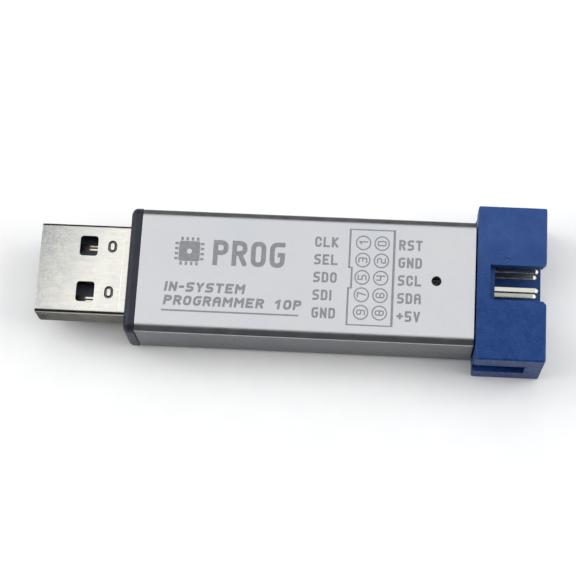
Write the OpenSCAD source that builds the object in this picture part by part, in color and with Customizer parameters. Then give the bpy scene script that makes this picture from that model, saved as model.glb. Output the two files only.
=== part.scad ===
// In-system programmer stick: a USB plug at one end, a boxed ribbon-cable header at the other, and the
// circuit board between them inside an extruded metal sleeve. Millimetres, +X from plug to header, +Z up.

/* [Sleeve] */
// Length of the extruded sleeve
sleeve_l = 43.05; // [36:0.05:52]
// Width across the sleeve
sleeve_w = 16.4; // [15:0.1:20]
// Height of the sleeve
sleeve_h = 8; // [7:0.1:10]
// Wall thickness of the sleeve
sleeve_t = 0.8; // [0.6:0.05:1.2]
// Outer corner radius of the sleeve
sleeve_r = 0.85; // [0.5:0.05:2]
// How far each board guide rib stands in from the side wall
rib_in = 0.5; // [0.3:0.05:0.8]
// Height of each board guide rib
rib_h = 0.45; // [0.3:0.05:0.8]
// Diameter of the hole the status light shines through
lamp_hole_d = 1.2; // [0.8:0.1:3]
// Distance of the status light from the middle of the stick
lamp_x = 18.65; // [12:0.05:19]

/* [Front bezel] */
// Visible thickness of the bezel in front of the sleeve
bezel_l = 1.45; // [1:0.05:3]
// Width of the bezel
bezel_w = 16.8; // [15:0.1:20]
// Height of the bezel
bezel_h = 8.3; // [7:0.1:10]
// Corner radius of the bezel
bezel_r = 1.3; // [0.5:0.05:2]
// Rounding of the bezel's front edge
bezel_nose = 0.8; // [0.2:0.05:1.2]
// Length of the skirt that goes into the sleeve
skirt_l = 4.4; // [2:0.1:6]
// Clearance around the plug and around the skirt
bezel_gap = 0.05; // [0.02:0.01:0.2]

/* [Plug] */
// Length of the plug in front of the bezel
plug_out = 11.6; // [11:0.05:14]
// Width of the plug's metal shell
plug_w = 12; // [11.9:0.05:12.1]
// Height of the plug's metal shell
plug_h = 4.5; // [4.4:0.05:4.6]
// Sheet thickness of the shell
plug_t = 0.3; // [0.25:0.01:0.35]
// Outer corner radius of the shell
plug_r = 0.5; // [0.35:0.05:0.8]
// Distance from the plug's tip to the middle of its windows
window_x = 6.3; // [5:0.05:7]
// Window length along the plug
window_l = 2.3; // [1.5:0.05:3]
// Window width across the plug
window_w = 2.6; // [1.5:0.05:3]
// Distance of each window from the plug's centre line
window_y = 3.08; // [2.5:0.01:3.5]
// Corner radius of the windows
window_r = 0.4; // [0.1:0.05:0.6]
// Distance from the plug's tip to the retaining dimples
dimple_x = 9.35; // [8:0.05:10]
// Length of each dimple along the plug
dimple_l = 1.15; // [0.8:0.05:1.5]
// Width of each dimple across the plug
dimple_w = 1.7; // [1.2:0.05:2.5]
// Depth of the dimples
dimple_deep = 0.15; // [0.05:0.01:0.2]
// Distance from the plug's tip to the locking key in the seam underneath
key_x = 3.6; // [2:0.1:6]
// Distance of the pressed crease line from the bezel
crease_x = 0.9; // [0.5:0.05:1.5]
// Radius of the shell's lower front corners, seen from the side
lip_r = 1.1; // [0.3:0.05:1.5]
// Height of the plug's centre above the sleeve's centre
plug_up = 0.75; // [0:0.05:1]

/* [Header] */
// Depth of the header housing from its back to its mouth
head_l = 8.75; // [8:0.05:10]
// Width of the header housing
head_w = 20.3; // [20:0.1:21]
// Height of the header housing
head_h = 9.1; // [8.5:0.1:9.6]
// Width of the header cavity
cavity_w = 17.9; // [17.5:0.1:18.5]
// Height of the header cavity
cavity_h = 6.5; // [6.2:0.1:7]
// Thickness of the floor that holds the pins
floor_l = 2.3; // [1.8:0.1:3]
// Width of the polarising notch
notch_w = 4.6; // [4:0.1:5]
// Length of the polarising notch from the mouth
notch_l = 7.1; // [5:0.1:8]
// Radius that opens out the notch's corners at the mouth
notch_r = 0.45; // [0.1:0.05:0.8]
// Height of the grip slots on the two ends
grip_h = 3.1; // [2:0.1:4]
// Length of the grip slots
grip_l = 6.5; // [4:0.1:8]
// Depth of the grip slots
grip_deep = 0.7; // [0.3:0.05:0.9]
// Pin thickness
pin_w = 0.64; // [0.6:0.01:0.66]
// Pitch between neighbouring pins
pitch = 2.54; // [2:0.01:2.54]
// How far the pins stop short of the mouth
pin_short = 0.75; // [0.3:0.05:2]
// How far the pins reach back over the board
pin_back = 3; // [2:0.1:4]

/* [Circuit board] */
// Board thickness
board_t = 1.6; // [1:0.1:1.6]
// Clearance between the board's edge and the sleeve
board_gap = 0.05; // [0.02:0.01:0.2]
// Gap between the sleeve's end and the header housing
end_gap = 0.15; // [0.05:0.05:0.5]

/* [Hidden] */
$fn = 48;
tip_x = -(plug_out + bezel_l + sleeve_l + end_gap + head_l)/2;
bezel_x = tip_x + plug_out;
sleeve_x = bezel_x + bezel_l;
head_x = sleeve_x + sleeve_l + end_gap;
mouth_x = head_x + head_l;
head_z = head_h/2;
sleeve_z = head_z - 0.15;
plug_z = sleeve_z + plug_up;
inner_w = sleeve_w - 2*sleeve_t;
inner_h = sleeve_h - 2*sleeve_t;
board_x = sleeve_x + skirt_l + 0.05;
board_w = inner_w - 2*board_gap;
board_top = head_z + board_t/2;
board_low = head_z - board_t/2;
shell_back = board_x - 0.2;
plug_low = plug_z - plug_h/2;
tongue_x = tip_x + 0.6;
tongue_z = plug_low + 2.2;
tongue_w = plug_w - 2*plug_t - 0.1;
block_x = bezel_x + 1.4;
block_back = shell_back - 0.2;
contact_t = 0.25;
contact_w = 1;
contact_y = [-3.5, -1, 1, 3.5];
tail_x = board_x + 2.2;
leg_w = 2.7;
leg_l = 2.2;
seam_w = 0.08;
key_w = 1.8;
key_l = 1.6;
crease_w = 0.12;
crease_deep = 0.05;
skirt_r = 0.25;
inner_r = 0.3;
head_r = 0.3;
past = 1; // how far a cut runs past the face it opens
bite = 0.02; // how far one solid runs into the next where they join
// places on the board, as [x, y]
controller_at = [-2.5, 0];
memory_at = [8.4, -2.6];
crystal_at = [6.4, 4];
surge_at = [-10.4, 0];
fuse_at = [-10.4, 4.3];
buffer_at = [12.5, 0];
regulator_at = [-8.2, 0];
tantalum_at = [-1.2, -3.2];
via_at = [[-12, 5.6], [-9.2, -5.9], [4.4, 0.6], [5, -6.1], [12.2, 6], [17.2, -5.6], [17.2, 5.6]];
via_d = 0.4;
// two-ended chip parts, as [length, width, height, length of each plated end]
capacitor = [1.6, 0.8, 0.8, 0.32];
resistor = [1.6, 0.8, 0.45, 0.28];
fuse = [3.2, 1.6, 0.8, 0.45];
lamp = [2, 1.25, 0.35, 0.3];
crystal_l = 3.2;
crystal_w = 2.5;
crystal_h = 0.45;

// ---- helpers ----
module rounded(w, h, r) {
    square([w - 2*r, h], center = true);
    square([w, h - 2*r], center = true);
    for (a = [-1, 1], b = [-1, 1]) translate([a*(w/2 - r), b*(h/2 - r)]) circle(r = r);
}
// a section drawn in (Y, Z) and drawn out along +X
module along_x(x0, l, z0 = 0)
    translate([x0, 0, z0]) rotate([90, 0, 90]) linear_extrude(height = l) children();
// a profile drawn in (X, Z) and drawn out along +Y
module along_y(y0, l) translate([0, y0 + l, 0]) rotate([90, 0, 0]) linear_extrude(height = l) children();
module box(x0, x1, y0, y1, z0, z1) translate([x0, y0, z0]) cube([x1 - x0, y1 - y0, z1 - z0]);
// on the upper face of the board, or hanging from its lower face
module on_top(at, turn = 0) translate([at[0], at[1], board_top]) rotate([0, 0, turn]) children();
module below(at, turn = 0) translate([at[0], at[1], board_low]) rotate([180, 0, turn]) children();

// ---- plug ----
module window_cut(side) {
    for (s = [-1, 1])
        translate([tip_x + window_x, s*window_y, plug_z + side*plug_h/2])
            linear_extrude(height = 2, center = true) rounded(window_l, window_w, window_r);
}
module dimple_cut(side) {
    for (s = [-1, 1])
        translate([tip_x + dimple_x, s*window_y, plug_z + side*(plug_h/2 - dimple_deep/2 + past/2)])
            linear_extrude(height = dimple_deep + past, center = true) {
                square([dimple_l, dimple_w - dimple_l], center = true);
                for (q = [-1, 1]) translate([0, q*(dimple_w - dimple_l)/2]) circle(d = dimple_l);
            }
}
// the sheet's two edges meet along the underside, and a key locks them together
module seam_cut() {
    x = tip_x + key_x;
    low = plug_low - past;
    high = plug_low + plug_t + 0.1;
    box(tip_x - past, x, -seam_w/2, seam_w/2, low, high);
    box(x - seam_w, x, -key_w/2, key_w/2, low, high);
    for (s = [-1, 1])
        box(x - seam_w, x + key_l, s*key_w/2 - seam_w/2, s*key_w/2 + seam_w/2, low, high);
}
// the lower front corners are rounded off, which guides the plug into its socket
module lip_cut() along_y(-plug_w, 2*plug_w) translate([tip_x, plug_low]) difference() {
    translate([-past, -past]) square(lip_r + past);
    translate([lip_r, lip_r]) circle(r = lip_r);
}
module usb_shell() color("silver") {
    difference() {
        along_x(tip_x, shell_back - tip_x, plug_z) difference() {
            rounded(plug_w, plug_h, plug_r);
            rounded(plug_w - 2*plug_t, plug_h - 2*plug_t, plug_r - plug_t);
        }
        for (side = [-1, 1]) { window_cut(side); dimple_cut(side); }
        seam_cut();
        lip_cut();
        box(bezel_x - crease_x, bezel_x - crease_x + crease_w, -plug_w/2 + plug_r, plug_w/2 - plug_r,
            plug_z + plug_h/2 - crease_deep, plug_z + plug_h/2 + past);
    }
    for (s = [-1, 1])
        translate([shell_back - bite, s*(plug_w/2 - plug_t/2) - plug_t/2, head_z - leg_w/2])
            cube([leg_l, plug_t, leg_w]);
}
// the outer contacts reach further forward than the inner two
function contact_front(y) = tongue_x + (abs(y) > 2 ? 1.0 : 2.0);
module contact_profile(x0, x1) {
    low = tongue_z - contact_t;
    polygon([[x0, low + 0.12], [x0 + 0.3, low], [block_x + 1, low], [block_x + 2, board_top], [x1, board_top],
        [x1, board_top + contact_t], [block_x + 1.89, board_top + contact_t], [block_x + 0.89, tongue_z],
        [x0 + 0.1, tongue_z]]);
}
module contact(y) color("gold") along_y(y - contact_w/2, contact_w) contact_profile(contact_front(y), tail_x);
module contact_channel(y) {
    g = 0.02;
    box(contact_front(y) - g, block_x + 1.2, y - contact_w/2 - g, y + contact_w/2 + g,
        tongue_z - contact_t - g, tongue_z + g);
    along_y(y - contact_w/2 - g, contact_w + 2*g)
        polygon([[block_x - 0.2, tongue_z - contact_t - g], [block_x + 1.02, tongue_z - contact_t - g],
            [block_x + 2.02, board_top - g], [block_back + 1, board_top - g],
            [block_back + 1, board_top + contact_t + g], [block_x + 1.87, board_top + contact_t + g],
            [block_x + 0.87, tongue_z + g], [block_x - 0.2, tongue_z + g]]);
}
module usb_insulator() color("black") difference() {
    union() {
        box(tongue_x, block_x, -tongue_w/2, tongue_w/2, plug_low + plug_t + 0.25, tongue_z);
        box(tongue_x, block_x, -tongue_w/2 + 0.25, tongue_w/2 - 0.25, plug_low + plug_t + 0.02, tongue_z);
        along_x(block_x, block_back - block_x, plug_z)
            rounded(plug_w - 2*plug_t - 0.06, plug_h - 2*plug_t - 0.04, plug_r - plug_t);
    }
    for (y = contact_y) contact_channel(y);
    // the tongue's front edge is bevelled so that it leads into a socket
    along_y(-plug_w, 2*plug_w)
        polygon([[tongue_x - 0.1, tongue_z - 0.5], [tongue_x + 0.5, tongue_z + 0.1],
            [tongue_x - 0.1, tongue_z + 0.1]]);
}
module usb_contact_1() contact(contact_y[0]);
module usb_contact_2() contact(contact_y[1]);
module usb_contact_3() contact(contact_y[2]);
module usb_contact_4() contact(contact_y[3]);

// ---- bezel and sleeve ----
// a strip from the bezel's front to the sleeve, with its two front corners rounded
module nose(w) {
    translate([bezel_nose, -w/2]) square([bezel_l - bezel_nose, w]);
    translate([0, bezel_nose - w/2]) square([bezel_l, w - 2*bezel_nose]);
    for (s = [-1, 1]) translate([bezel_nose, s*(w/2 - bezel_nose)]) circle(r = bezel_nose);
}
module front_bezel() color("dimgray") difference() {
    union() {
        intersection() {
            along_x(bezel_x, bezel_l, sleeve_z) rounded(bezel_w, bezel_h, bezel_r);
            translate([bezel_x, 0, sleeve_z]) along_y(-bezel_w, 2*bezel_w) nose(bezel_h);
            translate([bezel_x, 0, -past]) linear_extrude(height = bezel_h + 2*past) nose(bezel_w);
        }
        along_x(sleeve_x, skirt_l, sleeve_z)
            rounded(inner_w - 2*bezel_gap, inner_h - 2*bezel_gap, skirt_r);
    }
    along_x(bezel_x - past, bezel_l + skirt_l + 2*past, plug_z)
        rounded(plug_w + 2*bezel_gap, plug_h + 2*bezel_gap, plug_r + bezel_gap);
    // grooves that let the skirt pass the sleeve's board guides
    for (s = [-1, 1]) translate([sleeve_x + skirt_l/2 + 0.5, s*inner_w/2, head_z])
        cube([skirt_l + 1, 2*(rib_in + bezel_gap), board_t + 2*rib_h + 0.3], center = true);
}
module sleeve() color("silver") difference() {
    along_x(sleeve_x, sleeve_l, 0) {
        translate([0, sleeve_z]) difference() {
            rounded(sleeve_w, sleeve_h, sleeve_r);
            rounded(inner_w, inner_h, inner_r);
        }
        for (s = [-1, 1], up = [-1, 1])
            translate([s*(inner_w/2 - rib_in/2 + 0.05), head_z + up*(board_t/2 + board_gap + rib_h/2)])
                square([rib_in + 0.1, rib_h], center = true);
    }
    translate([lamp_x, 0, sleeve_z]) cylinder(d = lamp_hole_d, h = sleeve_h);
}

// ---- header ----
// the polarising notch from above; its corners open out where they reach the mouth
module notch_plan() {
    translate([mouth_x - notch_l, -notch_w/2]) square([notch_l + past, notch_w]);
    difference() {
        translate([mouth_x - notch_r, -notch_w/2 - notch_r]) square([notch_r + past, notch_w + 2*notch_r]);
        for (s = [-1, 1]) translate([mouth_x - notch_r, s*(notch_w/2 + notch_r)]) circle(r = notch_r);
    }
}
module header_housing() color("royalblue") difference() {
    along_x(head_x, head_l, head_z) rounded(head_w, head_h, head_r);
    box(head_x + floor_l, mouth_x + past, -cavity_w/2, cavity_w/2, head_z - cavity_h/2, head_z + cavity_h/2);
    translate([0, 0, head_z + cavity_h/2 - bite]) linear_extrude(height = head_h) notch_plan();
    for (s = [-1, 1]) translate([head_x + grip_l/2 - past/2, s*head_w/2, head_z])
        cube([grip_l + past, 2*grip_deep, grip_h], center = true);
    for (i = [-2:2], row = [-1, 1]) translate([head_x, i*pitch, head_z + row*pitch/2])
        cube([2*floor_l + past, pin_w + bite, pin_w + bite], center = true);
}
module pin_side(h) {
    x0 = head_x - pin_back;
    x1 = mouth_x - pin_short;
    polygon([[x0, -h*0.55], [x0 + 0.3, -h], [x1 - 0.45, -h], [x1, -h*0.4], [x1, h*0.4], [x1 - 0.45, h],
        [x0 + 0.3, h], [x0, h*0.55]]);
}
module header_pin(i, row) color("gold") translate([0, i*pitch, head_z + row*pitch/2]) intersection() {
    along_y(-pin_w/2, pin_w) pin_side(pin_w/2);
    translate([0, 0, -pin_w/2]) linear_extrude(height = pin_w) pin_side(pin_w/2);
}
module header_pin_01() header_pin(-2, 1);
module header_pin_02() header_pin(-2, -1);
module header_pin_03() header_pin(-1, 1);
module header_pin_04() header_pin(-1, -1);
module header_pin_05() header_pin(0, 1);
module header_pin_06() header_pin(0, -1);
module header_pin_07() header_pin(1, 1);
module header_pin_08() header_pin(1, -1);
module header_pin_09() header_pin(2, 1);
module header_pin_10() header_pin(2, -1);

// ---- board ----
module circuit_board() color("darkgreen") difference() {
    box(board_x, head_x - bite, -board_w/2, board_w/2, board_low, board_top);
    for (s = [-1, 1]) translate([board_x, s*(plug_w/2 - plug_t/2), head_z])
        cube([4.3, plug_t + 0.3, 2*board_t], center = true);
    // plated holes between the two faces
    for (at = via_at) translate([at[0], at[1], board_low - past]) cylinder(d = via_d, h = board_t + 2*past);
}
// a moulded body: its sides lean in by a few degrees above and below the parting line
module moulded(l, w, h) {
    d = h*0.12;
    intersection() {
        along_y(-w/2, w) polygon([[-l/2 + d, 0], [-l/2, h/2], [-l/2 + d, h], [l/2 - d, h], [l/2, h/2],
            [l/2 - d, 0]]);
        along_x(-l/2, l) polygon([[-w/2 + d, 0], [-w/2, h/2], [-w/2 + d, h], [w/2 - d, h], [w/2, h/2],
            [w/2 - d, 0]]);
    }
}
module chip_body(l, w, h) difference() {
    translate([0, 0, 0.1]) moulded(l, w, h);
    translate([-l/2 + 0.85, -w/2 + 0.85, h + 0.02]) cylinder(d = 0.6, h = 1);
}
// one lead bent down and out from height up to the board; its root is at the body's side
module lead(w, up, out, t = 0.15) along_y(-w/2, w)
    polygon([[-0.02, up - t/2], [out*0.28, up - t/2], [out*0.42, 0], [out, 0], [out, t], [out*0.52, t],
        [out*0.38, up + t/2], [-0.02, up + t/2]]);
module lead_row(n, p, half, w, up, out, t = 0.15)
    for (i = [0:n - 1]) translate([half, (i - (n - 1)/2)*p, 0]) lead(w, up, out, t);
module two_rows(n, p, half, w, up, out, t = 0.15)
    for (a = [90, -90]) rotate([0, 0, a]) lead_row(n, p, half, w, up, out, t);
// a two-ended chip part lies along X: the ceramic middle, and its plated ends
module chip_middle(p) translate([-p[0]/2 + p[3], -p[1]/2, 0]) cube([p[0] - 2*p[3], p[1], p[2]]);
module chip_ends(p)
    for (s = [-1, 1]) translate([s*(p[0]/2 - p[3]/2) - p[3]/2, -p[1]/2, 0]) cube([p[3], p[1], p[2]]);

module controller_chip() color("black") on_top(controller_at) chip_body(7, 7, 1.4);
module controller_leads() color("silver") on_top(controller_at)
    for (a = [0:90:270]) rotate([0, 0, a]) lead_row(12, 0.5, 3.52, 0.22, 0.8, 1);
module memory_chip() color("black") on_top(memory_at) chip_body(4.9, 3.9, 1.4);
module memory_leads() color("silver") on_top(memory_at) two_rows(4, 1.27, 1.97, 0.4, 0.8, 1.05, 0.2);
module buffer_chip() color("black") below(buffer_at) chip_body(6.5, 4.4, 0.95);
module buffer_leads() color("silver") below(buffer_at) two_rows(10, 0.65, 2.22, 0.24, 0.575, 1, 0.13);
module voltage_regulator() color("black") below(regulator_at, 90) chip_body(6.5, 3.5, 1.6);
module regulator_leads() color("silver") below(regulator_at, 90) {
    for (i = [-1, 0, 1]) translate([i*2.3, 1.77, 0]) rotate([0, 0, 90]) lead(0.7, 0.9, 1.6, 0.28);
    translate([0, -1.77, 0]) rotate([0, 0, -90]) lead(3, 0.9, 1.6, 0.28);
}
// the crystal's ceramic tray has a quarter-round notch at each corner, and a metal lid on top
module crystal_base() color("ivory") on_top(crystal_at) difference() {
    translate([-crystal_l/2, -crystal_w/2, 0]) cube([crystal_l, crystal_w, crystal_h]);
    for (a = [-1, 1], b = [-1, 1])
        translate([a*crystal_l/2, b*crystal_w/2, -past]) cylinder(r = 0.25, h = crystal_h + 2*past);
}
module crystal_lid() color("silver") on_top(crystal_at)
    translate([0, 0, crystal_h]) linear_extrude(height = 0.25) rounded(crystal_l - 0.5, crystal_w - 0.5, 0.3);
module surge_array() color("black") on_top(surge_at, 90) chip_body(2.9, 1.6, 1);
module surge_array_leads() color("silver") on_top(surge_at, 90) two_rows(3, 0.95, 0.82, 0.38, 0.6, 0.6, 0.15);
module fuse_body() color("seagreen") on_top(fuse_at) chip_middle(fuse);
module fuse_terminals() color("silver") on_top(fuse_at) chip_ends(fuse);
module tantalum_capacitor() color("orange") below(tantalum_at) difference() {
    translate([0, 0, 0.08]) moulded(3.5, 2.8, 1.8);
    for (s = [-1, 1]) translate([s*1.75, 0, 0.5]) cube([0.5, 1.9, 1.3], center = true);
}
module tantalum_terminals() color("silver") below(tantalum_at) for (s = [-1, 1])
    rotate([0, 0, s < 0 ? 180 : 0]) along_y(-0.9, 1.8)
        polygon([[0.9, 0], [1.74, 0], [1.74, 1], [1.56, 1], [1.56, 0.08], [0.9, 0.08]]);
module status_led_base() color("ivory") on_top([lamp_x, 0], 90) {
    chip_middle(lamp);
    chip_ends(lamp);
}
module status_led_lens() color("palegreen") on_top([lamp_x, 0], 90) translate([0, 0, lamp[2]])
    along_y(-0.6, 1.2) polygon([[-0.65, 0], [-0.55, 0.5], [0.55, 0.5], [0.65, 0]]);
module capacitor_places() {
    for (s = [-1, 1]) {
        for (side = [-1, 1]) on_top([controller_at[0] + s*2.2, side*5.9]) children();
        on_top([3.4, s*3.4], 90) children();
        on_top([5.7 + s*3.9, 6.2]) children();
        below([buffer_at[0] + s*2.2, 5.3]) children();
        below([-3.6, s*5.4]) children();
    }
    on_top([-7.9, 3.2], 90) children();
    on_top([-10.6, -5.6]) children();
    below([4.6, 0], 90) children();
    below([-12.9, 0], 90) children();
}
module resistor_places() {
    for (i = [-3:3]) on_top([15.2, i*1.65]) children();
    for (i = [-1, 1]) on_top([-8.2, i*1.2 - 3.9], 90) children();
    on_top([11.9, 3.6], 90) children();
    on_top([18.6, -3], 90) children();
    for (i = [-1:1]) below([18.4, i*2.6]) children();
    below([2, 4.6]) children();
}
module chip_capacitors() color("tan") capacitor_places() chip_middle(capacitor);
module capacitor_terminals() color("silver") capacitor_places() chip_ends(capacitor);
module chip_resistors() color("black") resistor_places() chip_middle(resistor);
module resistor_terminals() color("silver") resistor_places() chip_ends(resistor);

// ---- solder ----
module fillet_section(half, spread, h, t) difference() {
    polygon([[-half - spread, 0], [half + spread, 0], [half + 0.03, h], [-half - 0.03, h]]);
    translate([-half, t]) square([2*half, h + 1]);
}
module pin_solder() color("gainsboro") for (i = [-2:2], row = [-1, 1])
    translate([0, i*pitch, head_z]) rotate([row < 0 ? 180 : 0, 0, 0])
        along_x(head_x - pin_back + 0.25, 2.3, board_t/2)
            fillet_section(pin_w/2, 0.35, 0.42, pitch/2 - pin_w/2 - board_t/2);
module contact_solder() color("gainsboro") for (y = contact_y) translate([0, y, 0])
    along_x(tail_x - 1.9, 1.7, board_top) difference() {
        polygon([[-contact_w/2 - 0.2, 0], [contact_w/2 + 0.2, 0], [contact_w/2 + 0.02, 0.2],
            [-contact_w/2 - 0.02, 0.2]]);
        translate([-contact_w/2, -1]) square([contact_w, 2]);
    }
module shell_solder() color("gainsboro") for (s = [-1, 1], up = [0, 180])
    translate([0, s*(plug_w/2 - plug_t/2), head_z]) rotate([up, 0, 0])
        along_x(board_x + 0.3, 1.6, board_t/2) difference() {
            polygon([[-0.6, 0], [0.6, 0], [0.18, 0.4], [-0.18, 0.4]]);
            translate([-plug_t/2, -1]) square([plug_t, 3]);
        }

sleeve();
front_bezel();
usb_shell();
usb_insulator();
usb_contact_1();
usb_contact_2();
usb_contact_3();
usb_contact_4();
header_housing();
header_pin_01();
header_pin_02();
header_pin_03();
header_pin_04();
header_pin_05();
header_pin_06();
header_pin_07();
header_pin_08();
header_pin_09();
header_pin_10();
circuit_board();
controller_chip();
controller_leads();
memory_chip();
memory_leads();
buffer_chip();
buffer_leads();
voltage_regulator();
regulator_leads();
crystal_base();
crystal_lid();
surge_array();
surge_array_leads();
fuse_body();
fuse_terminals();
tantalum_capacitor();
tantalum_terminals();
status_led_base();
status_led_lens();
chip_capacitors();
capacitor_terminals();
chip_resistors();
resistor_terminals();
pin_solder();
contact_solder();
shell_solder();
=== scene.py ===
import math

import bmesh
import bpy
from mathutils import Matrix, Vector


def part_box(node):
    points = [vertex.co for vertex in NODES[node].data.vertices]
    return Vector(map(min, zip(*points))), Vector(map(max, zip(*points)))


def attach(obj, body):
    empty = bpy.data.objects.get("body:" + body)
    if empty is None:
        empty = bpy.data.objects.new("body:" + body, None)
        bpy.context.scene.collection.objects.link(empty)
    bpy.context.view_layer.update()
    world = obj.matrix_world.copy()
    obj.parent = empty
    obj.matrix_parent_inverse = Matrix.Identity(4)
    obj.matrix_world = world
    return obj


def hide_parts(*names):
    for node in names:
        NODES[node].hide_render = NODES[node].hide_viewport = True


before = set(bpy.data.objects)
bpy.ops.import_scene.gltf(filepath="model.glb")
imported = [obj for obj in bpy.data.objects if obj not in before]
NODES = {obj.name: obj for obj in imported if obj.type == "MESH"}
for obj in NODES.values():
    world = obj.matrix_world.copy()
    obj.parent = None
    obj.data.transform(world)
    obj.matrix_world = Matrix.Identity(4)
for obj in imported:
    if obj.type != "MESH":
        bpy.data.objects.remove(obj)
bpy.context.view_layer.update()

BODY = "root"

# Pieces are modelled in millimetres in the row frame, and scaled to metres when they are done.
MM = 0.001


def span(node):
    """Lowest and highest corner of a CAD node, in millimetres."""
    low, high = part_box(node)
    return Vector(low) / MM, Vector(high) / MM


SLEEVE_LOW, SLEEVE_HIGH = span("sleeve")
BEZEL_LOW, BEZEL_HIGH = span("front_bezel")
SHELL_LOW, SHELL_HIGH = span("usb_shell")
HEADER_LOW, HEADER_HIGH = span("header_housing")
LAMP_LOW, LAMP_HIGH = span("status_led_lens")
BOARD_LOW, BOARD_HIGH = span("circuit_board")

SLEEVE_WALL = 0.8
SLEEVE_WIDE_TURN = 1.2
SLEEVE_TIGHT_TURN = 0.3
SLEEVE_SLOPE = 0.5
SLEEVE_SLOPE_ANGLE = 60
SLEEVE_INNER_CORNER = 0.3
SLEEVE_END_EDGE = 0.1
RIB_IN = 0.5
RIB_HEIGHT = 0.45
RIB_GAP = 0.05
LAMP_HOLE = 1.2
LAMP_HOLE_EDGE = 0.06

BEZEL_FLANGE = 1.45
BEZEL_CORNER = 1.3
BEZEL_NOSE = 0.8
BEZEL_GAP = 0.05
BEZEL_GROOVE_IN = 0.55
BEZEL_GROOVE_SPARE = 0.6
SKIRT_CORNER = 0.25

SHELL_HEIGHT = 4.5
SHELL_SHEET = 0.3
SHELL_CORNER = 0.5
SHELL_LIP = 1.1
SHELL_EDGE = 0.07
SHELL_TAIL_X = BOARD_LOW.x - 0.2
SHELL_LEG = 2.7
WINDOW_X = 6.3
WINDOW_SIZE = (2.3, 2.6)
WINDOW_CORNER = 0.4
WINDOW_Y = 3.08
DIMPLE_X = 9.35
DIMPLE_SIZE = (1.15, 1.6)
DIMPLE_DEPTH = 0.26
CREASE_BEFORE_BEZEL = 0.85
CREASE_HALF = 0.09
CREASE_DEPTH = 0.035
SEAM_HALF = 0.03
SEAM_LENGTH = 3.6
KEY_LENGTH = 1.6
KEY_HALF = 0.9
CONTACT_Y = (1.0, 3.5)
# Painted highlights on the contacts: how far each bright line lies from a contact's middle, and how far
# behind the tip the lines start.
GLINT_OFFSET = 0.22
GLINT_START = 5.9

HEADER_FLOOR = 2.3
CAVITY = (17.9, 6.5)
HEADER_CORNER = 0.28
HEADER_EDGE = 0.09
NOTCH = (7.1, 4.6)
NOTCH_FLARE = 0.45
GRIP = (6.5, 3.1, 0.7)
NICK_CENTRE = (27.5, 3.25)
NICK_SIZE = (0.95, 0.2, 0.07)
NICK_TURN = -28
PIN = 0.64
PIN_CORNER = 0.06
PIN_TIP = 0.45
PIN_TIP_INSET = 0.19
PITCH = 2.54


# -------------------------------- mesh helpers

def add_object(name, mesh):
    piece = bpy.data.objects.new(name, mesh)
    bpy.context.scene.collection.objects.link(piece)
    return piece


def object_from(name, build):
    """A new object whose mesh the function build fills in as a bmesh."""
    bm = bmesh.new()
    build(bm)
    bmesh.ops.recalc_face_normals(bm, faces=bm.faces)
    mesh = bpy.data.meshes.new(name)
    bm.to_mesh(mesh)
    bm.free()
    return add_object(name, mesh)


def rounded_loop(width, height, radius, centre=(0, 0), steps=8):
    """Points round a rounded rectangle, anticlockwise."""
    points = []
    for corner, (a, b) in enumerate(((1, 1), (-1, 1), (-1, -1), (1, -1))):
        for i in range(steps + 1):
            angle = math.radians(90) * (corner + i / steps)
            points.append((centre[0] + a * (width / 2 - radius) + radius * math.cos(angle),
                           centre[1] + b * (height / 2 - radius) + radius * math.sin(angle)))
    return points


def round_loop(radius, centre=(0, 0), steps=48):
    return [(centre[0] + radius * math.cos(2 * math.pi * i / steps),
             centre[1] + radius * math.sin(2 * math.pi * i / steps)) for i in range(steps)]


def across_x(x, loop):
    return [(x, p, q) for p, q in loop]


def across_y(y, loop):
    return [(p, y, q) for p, q in loop]


def across_z(z, loop):
    return [(p, q, z) for p, q in loop]


def rings_object(name, rings, tube=False):
    """A closed solid through rings of equal length: capped at both ends, or joined end to end as a tube."""
    def build(bm):
        rows = [[bm.verts.new(point) for point in ring] for ring in rings]
        pairs = list(zip(rows, rows[1:]))
        if tube:
            pairs.append((rows[-1], rows[0]))
        for first, second in pairs:
            for i in range(len(first)):
                j = (i + 1) % len(first)
                bm.faces.new((first[i], first[j], second[j], second[i]))
        if not tube:
            bm.faces.new(rows[0])
            bm.faces.new(rows[-1])
    return object_from(name, build)


def block(name, low, high):
    """A sharp box, used only to cut or add material."""
    low, high = Vector(low), Vector(high)
    loop = [(low.y, low.z), (high.y, low.z), (high.y, high.z), (low.y, high.z)]
    return rings_object(name, [across_x(low.x, loop), across_x(high.x, loop)])


def evaluated_mesh(piece):
    graph = bpy.context.evaluated_depsgraph_get()
    graph.update()
    return bpy.data.meshes.new_from_object(piece.evaluated_get(graph))


def apply_modifiers(piece):
    mesh = evaluated_mesh(piece)
    piece.modifiers.clear()
    old = piece.data
    piece.data = mesh
    bpy.data.meshes.remove(old)


def combine(piece, others, operation="DIFFERENCE"):
    """Cuts the other solids from the piece, or joins them to it, and deletes them."""
    for other in others:
        modifier = piece.modifiers.new("cut", "BOOLEAN")
        modifier.operation = operation
        modifier.solver = "EXACT"
        modifier.object = other
    apply_modifiers(piece)
    for other in others:
        mesh = other.data
        bpy.data.objects.remove(other)
        bpy.data.meshes.remove(mesh)
    return piece


def soften(piece, width, steps=2, angle=50):
    """Rounds every edge sharper than the angle."""
    modifier = piece.modifiers.new("soften", "BEVEL")
    modifier.width = width
    modifier.segments = steps
    modifier.limit_method = "ANGLE"
    modifier.angle_limit = math.radians(angle)
    modifier.miter_outer = "MITER_ARC"
    modifier.use_clamp_overlap = True
    apply_modifiers(piece)
    return piece


def smooth_faces(piece, angle=32):
    piece.data.shade_smooth()
    piece.data.set_sharp_from_angle(angle=math.radians(angle))
    modifier = piece.modifiers.new("flat_faces", "WEIGHTED_NORMAL")
    modifier.keep_sharp = True
    modifier.weight = 100


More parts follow.
